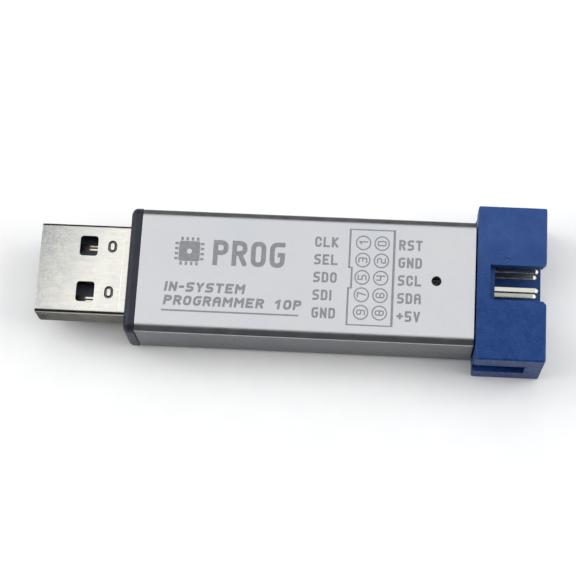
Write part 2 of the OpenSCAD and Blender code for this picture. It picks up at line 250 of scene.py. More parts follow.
def finish_piece(piece, material, replaced=(), smooth=True):
    """Scales a piece to metres, gives it its finish, and makes it ride."""
    piece.data.transform(Matrix.Scale(MM, 4))
    if smooth:
        smooth_faces(piece)
    piece.data.materials.clear()
    piece.data.materials.append(material)
    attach(piece, BODY)
    if replaced:
        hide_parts(*replaced)
    return piece


# -------------------------------- node helpers

class Finish:
    """A material under construction; base, metallic and roughness hold where no texture is linked."""

    def __init__(self, name, base, metallic=0.0, roughness=0.5):
        self.material = bpy.data.materials.new(name)
        self.material.use_nodes = True
        self.tree = self.material.node_tree
        self.tree.nodes.clear()
        self.shader = self.tree.nodes.new("ShaderNodeBsdfPrincipled")
        self.output = self.tree.nodes.new("ShaderNodeOutputMaterial")
        self.link(self.shader.outputs["BSDF"], self.output.inputs["Surface"])
        self.shader.inputs["Base Color"].default_value = (*base, 1)
        self.shader.inputs["Metallic"].default_value = metallic
        self.shader.inputs["Roughness"].default_value = roughness
        self.place = self.tree.nodes.new("ShaderNodeTexCoord").outputs["Object"]
        self.normal = None

    def link(self, output, socket):
        self.tree.links.new(output, socket)

    def stretched(self, factors):
        mapping = self.tree.nodes.new("ShaderNodeMapping")
        mapping.inputs["Scale"].default_value = factors
        self.link(self.place, mapping.inputs["Vector"])
        return mapping.outputs["Vector"]

    def noise(self, size_mm, detail=3.0, roughness=0.5, vector=None, distortion=0.0):
        """Noise whose features are about size_mm across."""
        node = self.tree.nodes.new("ShaderNodeTexNoise")
        node.inputs["Scale"].default_value = 1 / (size_mm * MM)
        node.inputs["Detail"].default_value = detail
        node.inputs["Roughness"].default_value = roughness
        node.inputs["Distortion"].default_value = distortion
        self.link(vector or self.place, node.inputs["Vector"])
        return node.outputs["Fac"]

    def cells(self, size_mm, vector=None, feature="F1"):
        node = self.tree.nodes.new("ShaderNodeTexVoronoi")
        node.feature = feature
        node.inputs["Scale"].default_value = 1 / (size_mm * MM)
        self.link(vector or self.place, node.inputs["Vector"])
        return node.outputs["Distance"]

    def limits(self, value, low, high, to_low=0.0, to_high=1.0):
        """The value, stretched from low..high to to_low..to_high and kept between them."""
        node = self.tree.nodes.new("ShaderNodeMapRange")
        node.inputs["From Min"].default_value = low
        node.inputs["From Max"].default_value = high
        node.inputs["To Min"].default_value = to_low
        node.inputs["To Max"].default_value = to_high
        self.link(value, node.inputs["Value"])
        return node.outputs["Result"]

    def combine_values(self, first, second, operation="MULTIPLY"):
        node = self.tree.nodes.new("ShaderNodeMath")
        node.operation = operation
        for socket, value in zip(node.inputs, (first, second)):
            if isinstance(value, (int, float)):
                socket.default_value = value
            else:
                self.link(value, socket)
        return node.outputs["Value"]

    def blend_colors(self, factor, first, second, kind="MIX"):
        node = self.tree.nodes.new("ShaderNodeMix")
        node.data_type = "RGBA"
        node.blend_type = kind
        for name, value in (("Factor", factor), ("A", first), ("B", second)):
            sockets = [s for s in node.inputs if s.name == name and s.enabled]
            socket = sockets[-1]
            if isinstance(value, bpy.types.NodeSocket):
                self.link(value, socket)
            elif isinstance(value, (int, float)):
                socket.default_value = value
            else:
                socket.default_value = (*value, 1)
        return [s for s in node.outputs if s.name == "Result" and s.enabled][-1]

    def shaded(self, tint, brightness):
        """The colour, times a brightness near 1."""
        return self.blend_colors(1.0, tint, self.blend_colors(brightness, (0, 0, 0), (1, 1, 1)), "MULTIPLY")

    def apart(self, value, middle):
        """How far the value is from the middle, either way."""
        return self.combine_values(self.combine_values(value, middle, "SUBTRACT"), 1, "ABSOLUTE")

    def position(self, axis):
        """One coordinate of the surface point, in millimetres."""
        node = self.tree.nodes.new("ShaderNodeSeparateXYZ")
        self.link(self.place, node.inputs["Vector"])
        return self.combine_values(node.outputs[axis], 1 / MM)

    def color(self, value):
        self.link(value, self.shader.inputs["Base Color"])

    def rough(self, value):
        self.link(value, self.shader.inputs["Roughness"])

    def bump(self, height, depth_mm, strength=1.0):
        """Adds relief: height runs from 0 to 1 and stands for depth_mm."""
        node = self.tree.nodes.new("ShaderNodeBump")
        node.inputs["Strength"].default_value = strength
        node.inputs["Distance"].default_value = depth_mm * MM
        self.link(height, node.inputs["Height"])
        if self.normal is not None:
            self.link(self.normal, node.inputs["Normal"])
        self.normal = node.outputs["Normal"]
        self.link(self.normal, self.shader.inputs["Normal"])

    def set(self, **values):
        for name, value in values.items():
            self.shader.inputs[name.replace("_", " ")].default_value = value
        return self


def blasted_aluminium():
    """Bead-blasted, clear-anodised aluminium: fine grain, faint clouds, a few fine rub marks."""
    f = Finish("blasted_aluminium", (0.45, 0.455, 0.465), metallic=1.0, roughness=0.32)
    cloud = f.limits(f.noise(9, 2.0), 0.3, 0.7)
    warm_and_cool = f.blend_colors(cloud, (0.435, 0.445, 0.468), (0.458, 0.458, 0.466))
    grain = f.limits(f.noise(0.11, 3.0, 0.7), 0.25, 0.75, 0.93, 1.03)
    speckled = f.shaded(warm_and_cool, grain)
    spots = f.limits(f.cells(3.1), 0.02, 0.045, 0.55, 1.0)
    f.color(f.blend_colors(spots, (0.42, 0.42, 0.43), speckled))
    f.rough(f.limits(f.noise(1.6, 4.0, 0.6), 0.3, 0.7, 0.27, 0.34))
    f.bump(f.noise(0.09, 4.0, 0.75), 0.006)
    rubs = f.limits(f.noise(0.5, 2.0, 0.5, f.stretched((0.05, 1, 1))), 0.68, 0.78)
    f.bump(rubs, 0.003)
    return f.set(Specular_Tint=(0.3, 0.305, 0.32, 1)).material


def bezel_plastic():
    f = Finish("bezel_plastic", (0.03, 0.036, 0.05), roughness=0.42)
    tone = f.limits(f.noise(1.3, 3.0), 0.3, 0.7)
    f.color(f.blend_colors(tone, (0.008, 0.011, 0.019), (0.013, 0.017, 0.029)))
    f.rough(f.limits(f.noise(0.6, 3.0), 0.3, 0.7, 0.36, 0.52))
    f.bump(f.noise(0.07, 3.0, 0.6), 0.006)
    return f.set(Specular_IOR_Level=0.28).material


def plug_nickel():
    """Nickel-plated sheet: blotches, darker towards the tip, drawing lines, pits, painted shade in recesses
    and folds.
    """
    f = Finish("plug_nickel", (0.78, 0.77, 0.74), metallic=1.0, roughness=0.3)
    blotch = f.limits(f.noise(1.1, 5.0, 0.65, distortion=0.8), 0.32, 0.68)
    tinted = f.blend_colors(blotch, (0.40, 0.40, 0.385), (0.58, 0.575, 0.54))
    # The tone runs along the plug, slanted a little across it: darker towards the tip, paler and warmer
    # towards the bezel.
    slant = f.combine_values(f.position("X"), f.combine_values(f.position("Y"), 0.3), "SUBTRACT")
    along = f.limits(slant, SHELL_LOW.x - 1, SHELL_LOW.x + WINDOW_X + 2)
    creamy = f.blend_colors(along, (0.26, 0.27, 0.27), (0.68, 0.665, 0.61))
    tinted = f.blend_colors(0.6, tinted, creamy)
    bloom = f.limits(f.noise(1.7, 3.0, 0.5), 0.5, 0.66, 0.0, 0.3)
    tinted = f.blend_colors(f.combine_values(bloom, along), tinted, (0.68, 0.61, 0.51))
    freckles = f.limits(f.noise(0.28, 4.0, 0.7), 0.42, 0.6)
    freckles_and_tip_darkening = f.limits(f.combine_values(freckles, along, "ADD"), 0.0, 0.75, 0.74, 1.0)
    tinted = f.shaded(tinted, freckles_and_tip_darkening)
    lines = f.limits(f.noise(0.16, 2.0, 0.5, f.stretched((0.08, 1, 1))), 0.3, 0.7, 0.9, 1.02)
    tinted = f.shaded(tinted, lines)
    pits = f.limits(f.cells(0.95), 0.035, 0.085)
    rare = f.limits(f.noise(1.9, 1.0), 0.5, 0.56)
    clean = f.combine_values(pits, rare, "MAXIMUM")
    tinted = f.blend_colors(clean, (0.30, 0.27, 0.22), tinted)
    # Painted shade: everything between 0.06 and 0.24 mm in from the top or bottom face, such as the walls of
    # the windows, dimples and seam and the sheet's cut edges, is darkened almost to black.
    half_height = SHELL_HEIGHT / 2
    depth = f.combine_values(half_height, f.apart(f.position("Z"), SHELL_LOW.z + half_height), "SUBTRACT")
    recess_shade = f.combine_values(f.limits(depth, 0.015, 0.06, 0.0, 0.9),
                             f.limits(depth, 0.24, SHELL_SHEET, 1.0, 0.0))
    f.color(f.blend_colors(recess_shade, tinted, (0.025, 0.026, 0.028)))
    f.rough(f.limits(f.noise(0.7, 5.0, 0.7), 0.3, 0.7, 0.24, 0.4))
    f.bump(f.noise(0.35, 5.0, 0.7), 0.005)
    f.bump(f.noise(0.12, 2.0, 0.5, f.stretched((0.08, 1, 1))), 0.003)
    return f.set(Specular_Tint=(0.0, 0.0, 0.0, 1)).material


def header_plastic():
    """Blue glass-filled moulding: cloudy colour, a painted sheen that makes the far side lighter, fine fibre
    texture, scuffs.
    """
    f = Finish("header_plastic", (0.03, 0.075, 0.22), roughness=0.45)
    cloud = f.limits(f.noise(2.6, 4.0, 0.6, distortion=0.5), 0.3, 0.7)
    deep = f.blend_colors(cloud, (0.001, 0.027, 0.14), (0.006, 0.042, 0.18))
    pale = f.blend_colors(cloud, (0.014, 0.048, 0.185), (0.03, 0.074, 0.24))
    # Painted sheen: the blue grows lighter from the near side towards the far side (+Y).
    base = f.blend_colors(f.limits(f.position("Y"), -4.0, 6.0), deep, pale)
    fibre = f.limits(f.noise(0.16, 3.0, 0.6, f.stretched((0.35, 1, 1))), 0.56, 0.76)
    base = f.blend_colors(fibre, base, (0.035, 0.085, 0.23))
    mottle = f.limits(f.noise(1.1, 5.0, 0.7, distortion=1.0), 0.42, 0.66, 0.0, 0.5)
    base = f.blend_colors(mottle, base, (0.02, 0.06, 0.17))
    scuff = f.limits(f.noise(0.55, 6.0, 0.75, distortion=1.2), 0.64, 0.74, 0.0, 0.6)
    base = f.blend_colors(scuff, base, (0.07, 0.125, 0.26))
    pits = f.limits(f.cells(1.9), 0.03, 0.06)
    f.color(f.blend_colors(pits, (0.004, 0.015, 0.05), base))
    f.rough(f.limits(f.noise(0.4, 4.0, 0.6), 0.3, 0.7, 0.36, 0.58))
    f.bump(f.noise(0.22, 4.0, 0.65), 0.012)
    return f.set(Specular_IOR_Level=0.16).material


def pin_plating():
    f = Finish("pin_plating", (0.66, 0.62, 0.48), metallic=1.0, roughness=0.28)
    tone = f.limits(f.noise(0.9, 4.0, 0.6), 0.3, 0.7)
    f.color(f.blend_colors(tone, (0.46, 0.46, 0.40), (0.50, 0.50, 0.43)))
    f.rough(f.limits(f.noise(0.9, 2.0), 0.3, 0.7, 0.26, 0.3))
    f.bump(f.noise(0.12, 2.0, 0.5, f.stretched((0.06, 1, 1))), 0.0005)
    return f.material


def contact_plating():
    """Gilt painted almost black as painted shade, with two bright lines along each contact as painted
    highlights.
    """
    f = Finish("contact_plating", (0.10, 0.09, 0.07), metallic=1.0, roughness=0.35)
    tone = f.limits(f.noise(0.7, 4.0, 0.6), 0.3, 0.7)
    # Painted shade: the gilt is made almost black.
    painted_shade_gilt = f.blend_colors(tone, (0.035, 0.04, 0.045), (0.06, 0.06, 0.055))
    side = f.apart(f.position("Y"), 0)
    from_contact = f.combine_values(*[f.apart(side, y) for y in CONTACT_Y], "MINIMUM")
    start = SHELL_LOW.x + GLINT_START
    # Painted highlights: two thin bright lines along each contact, one each side of its middle, from a
    # little behind the tip.
    painted_glints = f.combine_values(f.limits(f.apart(from_contact, GLINT_OFFSET), 0.07, 0.13, 1.0, 0.0),
                             f.limits(f.position("X"), start, start + 0.3))
    f.color(f.blend_colors(painted_glints, painted_shade_gilt, (0.80, 0.74, 0.58)))
    f.rough(f.limits(f.noise(0.5, 3.0), 0.3, 0.7, 0.3, 0.4))
    f.bump(f.noise(0.12, 2.0, 0.5, f.stretched((0.06, 1, 1))), 0.001)
    return f.material


def black_moulding(name, tone, sheen):
    f = Finish(name, (tone, tone, tone * 1.1), roughness=sheen)
    mix = f.limits(f.noise(0.8, 3.0), 0.3, 0.7)
    f.color(f.blend_colors(mix, (tone * 0.8,) * 3, (tone * 1.25, tone * 1.25, tone * 1.4)))
    f.rough(f.limits(f.noise(0.3, 3.0), 0.3, 0.7, sheen - 0.08, sheen + 0.1))
    f.bump(f.noise(0.08, 3.0, 0.6), 0.006)
    return f.material


def marking_ink():
    """Grey pad-printed ink, a little uneven."""
    f = Finish("marking_ink", (0.25, 0.255, 0.27), roughness=0.6)
    tone = f.limits(f.noise(0.6, 4.0, 0.7), 0.3, 0.7)
    f.color(f.blend_colors(tone, (0.19, 0.195, 0.21), (0.26, 0.265, 0.28)))
    f.rough(f.limits(f.noise(0.12, 3.0), 0.3, 0.7, 0.55, 0.75))
    f.bump(f.noise(0.07, 2.0, 0.6), 0.004)
    return f.set(Specular_IOR_Level=0.3).material


def board_laminate():
    """Solder mask over glass laminate: tracks show as raised paler lines, and the cut edges are tan."""
    f = Finish("board_laminate", (0.02, 0.12, 0.05), roughness=0.3)
    tracks = f.limits(f.cells(2.1, f.stretched((1, 0.6, 1)), "DISTANCE_TO_EDGE"), 0.05, 0.09)
    green = f.blend_colors(tracks, (0.035, 0.20, 0.075), (0.012, 0.095, 0.035))
    weave = f.limits(f.noise(0.35, 2.0), 0.3, 0.7, 0.9, 1.08)
    green = f.shaded(green, weave)
    middle = (BOARD_LOW.z + BOARD_HIGH.z) / 2
    edge = f.limits(f.apart(f.position("Z"), middle), 0.74, 0.76)
    f.color(f.blend_colors(edge, (0.42, 0.36, 0.17), green))
    f.rough(f.limits(f.noise(0.5, 3.0), 0.3, 0.7, 0.22, 0.38))
    f.bump(tracks, 0.02, 0.6)
    return f.set(Coat_Weight=0.3, Coat_Roughness=0.15).material


def matt_tin():
    f = Finish("matt_tin", (0.72, 0.72, 0.70), metallic=1.0, roughness=0.35)
    tone = f.limits(f.noise(0.3, 4.0, 0.6), 0.3, 0.7)
    f.color(f.blend_colors(tone, (0.60, 0.60, 0.59), (0.80, 0.80, 0.78)))
    f.rough(f.limits(f.noise(0.15, 3.0), 0.3, 0.7, 0.26, 0.48))
    f.bump(f.noise(0.09, 3.0, 0.6), 0.004)
    return f.material


def bright_solder():
    f = Finish("bright_solder", (0.70, 0.70, 0.69), metallic=1.0, roughness=0.22)
    tone = f.limits(f.noise(0.4, 4.0, 0.6), 0.3, 0.7)
    f.color(f.blend_colors(tone, (0.58, 0.58, 0.57), (0.80, 0.80, 0.79)))
    f.rough(f.limits(f.noise(0.2, 3.0), 0.3, 0.7, 0.15, 0.35))
    f.bump(f.noise(0.3, 3.0, 0.5), 0.02)
    return f.material


def matt_compound(name, dark, light):
    f = Finish(name, dark, roughness=0.5)
    tone = f.limits(f.noise(0.3, 5.0, 0.7), 0.3, 0.7)
    f.color(f.blend_colors(tone, dark, light))
    f.rough(f.limits(f.noise(0.2, 3.0), 0.3, 0.7, 0.4, 0.6))
    f.bump(f.noise(0.06, 3.0, 0.6), 0.004)
    return f.material


def lamp_resin():
    f = Finish("lamp_resin", (0.55, 0.75, 0.55), roughness=0.12)
    tone = f.limits(f.noise(0.4, 2.0), 0.3, 0.7)
    f.color(f.blend_colors(tone, (0.45, 0.66, 0.46), (0.62, 0.80, 0.60)))
    return f.set(Transmission_Weight=0.6, IOR=1.5).material


def floor_paper():
    f = Finish("floor_paper", (0.86, 0.86, 0.86), roughness=0.75)
    tone = f.limits(f.noise(3.0, 4.0, 0.6), 0.3, 0.7)
    f.color(f.blend_colors(tone, (0.855, 0.857, 0.86), (0.875, 0.875, 0.875)))
    f.bump(f.noise(0.4, 4.0, 0.6), 0.01)
    return f.material


# -------------------------------- sleeve and bezel

def sleeve_outline(width, height, inset, centre, steps=4):
    """The sleeve's section: each corner is a wide turn off the flat face, a slope, and a tight turn."""
    wide, tight = SLEEVE_WIDE_TURN, SLEEVE_TIGHT_TURN
    slope = math.radians(SLEEVE_SLOPE_ANGLE)
    drop = tight * math.sin(slope) + SLEEVE_SLOPE * math.cos(slope) + wide * (1 - math.sin(slope))
    tight_spot = (width / 2 - tight, height / 2 - drop)
    wide_spot = (tight_spot[0] - (wide - tight) * math.cos(slope) - SLEEVE_SLOPE * math.sin(slope),
                 height / 2 - wide)
    quarter = []
    for (x, y), radius, first, last in ((tight_spot, tight, 0, slope),
                                        (wide_spot, wide, slope, math.radians(90))):
        for i in range(steps + 1):
            angle = first + (last - first) * i / steps
            quarter.append((x + (radius - inset) * math.cos(angle), y + (radius - inset) * math.sin(angle)))
    upper = quarter + [(-x, y) for x, y in reversed(quarter)]
    return [(centre[0] + x, centre[1] + y) for x, y in upper + [(-x, -y) for x, y in upper]]


def make_sleeve():
    low, high = SLEEVE_LOW, SLEEVE_HIGH
    width, height = high.y - low.y, high.z - low.z
    centre = (0, (low.z + high.z) / 2)
    edge = SLEEVE_END_EDGE

    def outer(x, inset):
        return across_x(x, sleeve_outline(width, height, inset, centre))

    def inner(x, spread):
        wall = SLEEVE_WALL - spread
        return across_x(x, rounded_loop(width - 2 * wall, height - 2 * wall, SLEEVE_INNER_CORNER + spread,
                                        centre, steps=9))
    sleeve = rings_object("aluminium_sleeve", [
        outer(low.x, edge), outer(low.x + edge * 0.3, edge * 0.3), outer(low.x + edge, 0),
        outer(high.x - edge, 0), outer(high.x - edge * 0.3, edge * 0.3), outer(high.x, edge),
        inner(high.x, edge / 2), inner(high.x - edge / 2, 0),
        inner(low.x + edge / 2, 0), inner(low.x, edge / 2)], tube=True)
    combine(sleeve, guide_ribs(width / 2 - SLEEVE_WALL), "UNION")
    return combine(sleeve, [lamp_hole_cutter(high.z)])


def guide_ribs(inner_half_width):
    """The four ribs that hold the circuit board's edges."""
    ribs = []
    for side in (-1, 1):
        across = sorted((side * (inner_half_width - RIB_IN), side * (inner_half_width + 0.1)))
        for z in (BOARD_HIGH.z + RIB_GAP, BOARD_LOW.z - RIB_GAP - RIB_HEIGHT):
            ribs.append(block("rib", (SLEEVE_LOW.x + 0.05, across[0], z),
                              (SLEEVE_HIGH.x - 0.05, across[1], z + RIB_HEIGHT)))
    return ribs


def lamp_hole_cutter(top):
    centre = ((LAMP_LOW.x + LAMP_HIGH.x) / 2, (LAMP_LOW.y + LAMP_HIGH.y) / 2)
    radius, flare = LAMP_HOLE / 2, LAMP_HOLE_EDGE
    straight, open_mouth = round_loop(radius, centre), round_loop(radius + flare, centre)
    return rings_object("hole", [across_z(top - 1.5, straight), across_z(top - flare, straight),
                                 across_z(top, open_mouth), across_z(top + 1, open_mouth)])


def make_bezel():
    low, high = BEZEL_LOW, BEZEL_HIGH
    width, height = high.y - low.y, high.z - low.z
    middle = (low.z + high.z) / 2
    plug_middle = SHELL_LOW.z + SHELL_HEIGHT / 2
    inner_width = SLEEVE_HIGH.y - SLEEVE_LOW.y - 2 * SLEEVE_WALL - 2 * BEZEL_GAP
    inner_height = SLEEVE_HIGH.z - SLEEVE_LOW.z - 2 * SLEEVE_WALL - 2 * BEZEL_GAP
    joint = low.x + BEZEL_FLANGE
    edge = 0.08

    def outer(x, inset):
        return across_x(x, rounded_loop(width - 2 * inset, height - 2 * inset, BEZEL_CORNER - inset,
                                        (0, middle)))

    def skirt(x, inset):
        return across_x(x, rounded_loop(inner_width - 2 * inset, inner_height - 2 * inset,
                                        SKIRT_CORNER - inset / 2, (0, middle)))

    def opening(x, spread):
        gap = BEZEL_GAP + spread
        return across_x(x, rounded_loop(SHELL_HIGH.y - SHELL_LOW.y + 2 * gap, SHELL_HEIGHT + 2 * gap,
                                        SHELL_CORNER + gap, (0, plug_middle)))
    steps = 7
    rings = [opening(low.x + 0.15, 0), opening(low.x, 0.15)]
    for i in range(steps + 1):
        angle = math.radians(90) * i / steps
        rings.append(outer(low.x + BEZEL_NOSE * (1 - math.cos(angle)), BEZEL_NOSE * (1 - math.sin(angle))))
    rings += [outer(joint - edge, 0), outer(joint, edge), skirt(joint, 0), skirt(high.x - 0.2, 0),
              skirt(high.x, 0.2), opening(high.x, 0)]
    bezel = rings_object("front_bezel_moulding", rings, tube=True)
    half = inner_width / 2 + BEZEL_GAP
    grooves = []
    for side in (-1, 1):
        across = sorted((side * (half - BEZEL_GROOVE_IN), side * (half + 1)))
        grooves.append(block("groove", (joint, across[0], BOARD_LOW.z - BEZEL_GROOVE_SPARE),
                             (high.x + 1, across[1], BOARD_HIGH.z + BEZEL_GROOVE_SPARE)))
    return combine(bezel, grooves)


# -------------------------------- plug

def window_cutters(z, up):
    """Two windows in the shell's face at height z, with their outer edges eased; up is 1 above, -1 below."""
    length, width = WINDOW_SIZE
    ease = SHELL_EDGE
    cutters = []
    for side in (-1, 1):
        centre = (SHELL_LOW.x + WINDOW_X, side * WINDOW_Y)

        def outline(level, spread):
            return across_z(level, rounded_loop(length + 2 * spread, width + 2 * spread,
                                                WINDOW_CORNER + spread, centre))
        cutters.append(rings_object("window", [
            outline(z - up * 0.6, 0), outline(z - up * ease, 0), outline(z - up * ease * 0.3, ease * 0.4),
            outline(z, ease), outline(z + up * 0.5, ease)]))
    return cutters


def dimple_cutters(z, up):
    """Pressed oval dimples: a steep groove round a smaller raised middle."""
    floor = z - up * DIMPLE_DEPTH
    cutters = []
    for side in (-1, 1):
        centre = (SHELL_LOW.x + DIMPLE_X, side * WINDOW_Y)

        def oval(level, inset):
            width, length = (size - 2 * inset for size in DIMPLE_SIZE)
            return across_z(level, rounded_loop(width, length, width / 2 - 0.001, centre))
        cutters.append(rings_object("dimple", [
            oval(z + up * 0.3, -0.03), oval(z, -0.03), oval(z - up * 0.02, 0.0), oval(floor, 0.13),
            oval(floor, 0.19), oval(z - up * 0.03, 0.32), oval(z - up * 0.005, 0.35)]))
    return cutters


def seam_cutters(z):
    """The folded sheet's joint along the underside, with its square key."""
    half, wide = SEAM_HALF, KEY_HALF
    key = SHELL_LOW.x + SEAM_LENGTH
    boxes = [((SHELL_LOW.x - 1, -half), (key, half)), ((key - 2 * half, -wide), (key, wide))]
    boxes += [((key - 2 * half, side * wide - half), (key + KEY_LENGTH, side * wide + half))
              for side in (-1, 1)]
    return [block("seam", (*low, z - 0.3), (*high, z + 0.4)) for low, high in boxes]


def lip_cutter():
    """Rounds off the shell's lower front corners, seen from the side."""
    x, z, r = SHELL_LOW.x, SHELL_LOW.z, SHELL_LIP
    profile = [(x - 1, z - 1), (x + r, z - 1)]
    steps = 10
    for i in range(steps + 1):
        angle = math.radians(270) - math.radians(90) * i / steps
        profile.append((x + r + r * math.cos(angle), z + r + r * math.sin(angle)))
    profile.append((x - 1, z + r))
    return rings_object("lip", [across_y(-10, profile), across_y(10, profile)])


def crease_cutter(top):
    """A shallow pressed line across the shell's face, just in front of the bezel."""
    x, half = BEZEL_LOW.x - CREASE_BEFORE_BEZEL, CREASE_HALF
    profile = [(x - half, top + 0.2), (x - half, top + 0.01), (x, top - CREASE_DEPTH),
               (x + half, top + 0.01), (x + half, top + 0.2)]
    reach = (SHELL_HIGH.y - SHELL_LOW.y) / 2 - SHELL_CORNER
    return rings_object("crease", [across_y(-reach, profile), across_y(reach, profile)])


def make_shell():
    low = SHELL_LOW
    width = SHELL_HIGH.y - low.y
    tail = SHELL_TAIL_X
    centre = (0, low.z + SHELL_HEIGHT / 2)
    edge = SHELL_EDGE

    def outer(x, inset):
        return across_x(x, rounded_loop(width - 2 * inset, SHELL_HEIGHT - 2 * inset, SHELL_CORNER - inset,
                                        centre))

    def inner(x, spread):
        sheet = SHELL_SHEET - spread
        return across_x(x, rounded_loop(width - 2 * sheet, SHELL_HEIGHT - 2 * sheet,
                                        SHELL_CORNER - SHELL_SHEET + spread, centre))
    shell = rings_object("plug_shell", [
        outer(low.x, edge), outer(low.x + edge * 0.3, edge * 0.3), outer(low.x + edge, 0), outer(tail, 0),
        inner(tail, 0), inner(low.x + edge, 0), inner(low.x, edge)], tube=True)
    top = low.z + SHELL_HEIGHT
    cutters = [lip_cutter(), crease_cutter(top)]
    cutters += window_cutters(top, 1) + window_cutters(low.z, -1)
    cutters += dimple_cutters(top, 1) + dimple_cutters(low.z, -1)
    combine(shell, cutters + seam_cutters(low.z))
    legs = []
    middle = (BOARD_LOW.z + BOARD_HIGH.z) / 2
    for side in (-1, 1):
        across = sorted((side * width / 2, side * (width / 2 - SHELL_SHEET)))
        legs.append(block("leg", (tail - 0.02, across[0], middle - SHELL_LEG / 2),
                          (SHELL_HIGH.x, across[1], middle + SHELL_LEG / 2)))
    return combine(shell, legs, "UNION")


# -------------------------------- header

def make_header():
    low, high = HEADER_LOW, HEADER_HIGH
    middle = (low.z + high.z) / 2
    housing = block("box_header", low, high)
    soften(housing, HEADER_CORNER, 4)
    cavity_top = middle + CAVITY[1] / 2
    cutters = [
        block("cavity", (low.x + HEADER_FLOOR, -CAVITY[0] / 2, middle - CAVITY[1] / 2),
              (high.x + 1, CAVITY[0] / 2, cavity_top)),
        notch_cutter(cavity_top - 0.01)]
    for side in (-1, 1):
        across = sorted((side * (high.y - GRIP[2]), side * (high.y + 1)))
        cutters.append(block("grip", (low.x - 1, across[0], middle - GRIP[1] / 2),
                             (low.x + GRIP[0], across[1], middle + GRIP[1] / 2)))
    combine(housing, cutters)
    soften(housing, HEADER_EDGE, 2, angle=75)
    half = PIN / 2 + 0.01
    holes = [block("hole", (low.x - 1, y - half, z - half), (low.x + HEADER_FLOOR + 1, y + half, z + half))
             for y, z in pin_places()]
    return combine(housing, holes + [nick_cutter(high.z)])


def notch_cutter(low_z):
    """The polarising notch seen from above: its corners open out in a curve at the mouth."""
    x, half, flare, steps = HEADER_HIGH.x, NOTCH[1] / 2, NOTCH_FLARE, 6
    side = [(x - flare * math.cos(math.radians(90) * i / steps),
             half + flare * (1 - math.sin(math.radians(90) * (1 - i / steps)))) for i in range(steps + 1)]
    back = x - NOTCH[0]
    profile = [(back, half), *side, (x + 1, half + flare), (x + 1, -half - flare),
               *[(a, -b) for a, b in reversed(side)], (back, -half)]
    return rings_object("notch", [across_z(low_z, profile), across_z(HEADER_HIGH.z + 1, profile)])


def nick_cutter(top):
    """A small knock beside the polarising notch."""
    length, width, depth = NICK_SIZE
    turn = math.radians(NICK_TURN)
    along = Vector((math.cos(turn), math.sin(turn)))
    across = Vector((-along.y, along.x))

    def outline(z, spread):
        corners = ((-1, 0), (0, -1), (1, 0), (0, 1))
        reach = along * (length / 2 + spread), across * (width / 2 + spread)
        return [(*(Vector(NICK_CENTRE) + reach[0] * a + reach[1] * b), z) for a, b in corners]
    return rings_object("nick", [outline(top - depth, -0.08), outline(top + 0.05, 0.03)])


def pin_places():
    """Middle of each pin, in the order of the CAD nodes header_pin_01 to header_pin_10."""
    middle = (HEADER_LOW.z + HEADER_HIGH.z) / 2
    return [(column * PITCH, middle + row * PITCH / 2) for column in range(-2, 3) for row in (1, -1)]


def make_pin(number, place):
    """A square pin whose two ends draw in."""
    low, high = span(f"header_pin_{number:02d}")

    def section(x, inset):
        size = PIN - 2 * inset
        return across_x(x, rounded_loop(size, size, min(PIN_CORNER, size / 3), place, steps=3))
    return rings_object(f"pin_{number:02d}", [
        section(low.x, 0.14), section(low.x + 0.3, 0), section(high.x - PIN_TIP, 0),
        section(high.x - PIN_TIP * 0.45, 0.07), section(high.x - 0.03, PIN_TIP_INSET),
        section(high.x, PIN_TIP_INSET + 0.04)])


# -------------------------------- markings on the sleeve

MARK_UNDER = 0.004
MARK_PROUD = 0.012


def flat_piece(name, loops, spare=0.0):
    """A thin slab on the sleeve's top: one loop is solid, two loops of equal length are a frame."""
    low, high = SLEEVE_HIGH.z - MARK_UNDER - spare, SLEEVE_HIGH.z + MARK_PROUD + spare
    if len(loops) == 1:
        return rings_object(name, [across_z(low, loops[0]), across_z(high, loops[0])])
    outer, inner = loops
    return rings_object(name, [across_z(low, outer), across_z(high, outer), across_z(high, inner),
                               across_z(low, inner)], tube=True)


def rectangle(x0, x1, y0, y1):
    return [(x0, y0), (x1, y0), (x1, y1), (x0, y1)]


# Letters are drawn with strokes between the points of a square grid of five by five. Each pair of digits is
# a column and a row, counted from the lower left. A slash starts a new stroke. The corners inside a stroke
# are rounded unless an s makes them sharp. A stroke that comes back to its first point is a closed ring.
STROKES = {
    "A": "00 04 44 40/02 42", "C": "43 44 04 00 40 41", "D": "00s 04s 44 40 00s",
    "E": "44 04s 00s 40/02 32", "G": "44 04 00 40 42/42 32", "I": "00 04", "K": "00 04/44 02/12 40",
    "L": "04 00s 40", "M": "00 04/04 22/22 44/44 40", "N": "00 04/04 40/40 44", "O": "00 04 44 40 00",
    "P": "00 04/04 44 42 02", "R": "00 04/04 44 42 02/22 40", "S": "44 04 02 42 40 00",
    "T": "04 44/24 20", "V": "04 20/20 44", "Y": "04 22/44 22/22 20", "+": "02 42/21 23", "-": "02 42",
    " ": "", "0": "00 04 44 40 00", "1": "13 34/34 30", "2": "04 44 42 02 00s 40",
    "3": "04 44 40 00/42 12", "4": "04 02s 42/44 40", "5": "44 04s 02s 42 40 00",
    "6": "43 44 04 00 40 42 22/22 02", "7": "04 44/44 20", "8": "00 04 44 40 00/02 42",
    "9": "00 40 44 04 02 22/22 42"}
GRID = 4
# A stroke goes on past its last point by this share of its half width, so that strokes that meet overlap.
CAP = 0.96
WIDTHS = {"I": 0.0, "M": 1.3, "-": 0.5, " ": 0.6, "+": 0.95}


